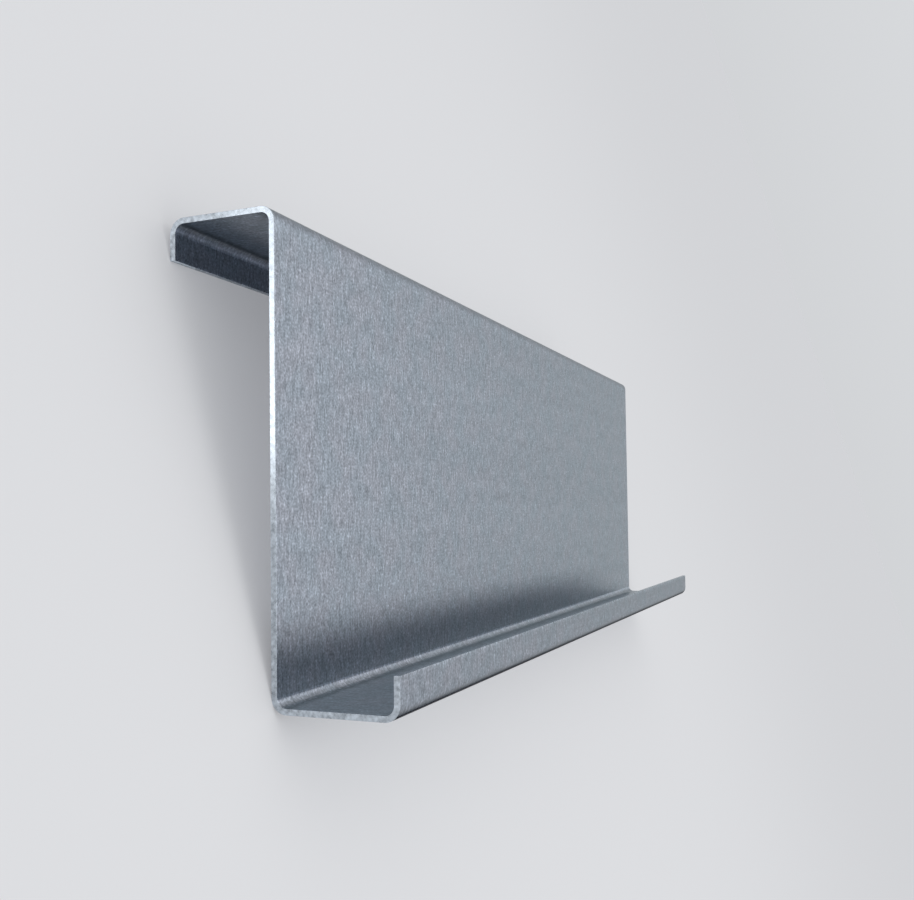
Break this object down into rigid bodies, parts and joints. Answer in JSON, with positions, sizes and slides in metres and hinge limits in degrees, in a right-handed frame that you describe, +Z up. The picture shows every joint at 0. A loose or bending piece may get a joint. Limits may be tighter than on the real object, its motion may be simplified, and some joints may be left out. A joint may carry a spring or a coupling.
{
  "type": "z purlin",
  "caption": "Lipped Z-section roof purlin: a roll-formed galvanised steel strip with a wide and a narrow flange, rounded bends and square-cut ends.",
  "frame": {"origin": "on the floor under the middle of the purlin's bounding box, as it lies at rest", "axes": "+Y along the length, away from the end nearest in the picture; +Z up; +X towards the wide flange. The purlin lies rolled 75.0 degrees from upright, towards its narrow flange."},
  "size_m": [0.2168, 0.63, 0.0562],
  "materials": {
    "galvanised_steel": "hot-dip galvanised, satin, with a fine blue-grey spangle"
  },
  "bodies": {
    "root": {"z_purlin": "galvanised_steel"}
  },
  "joints": []
}
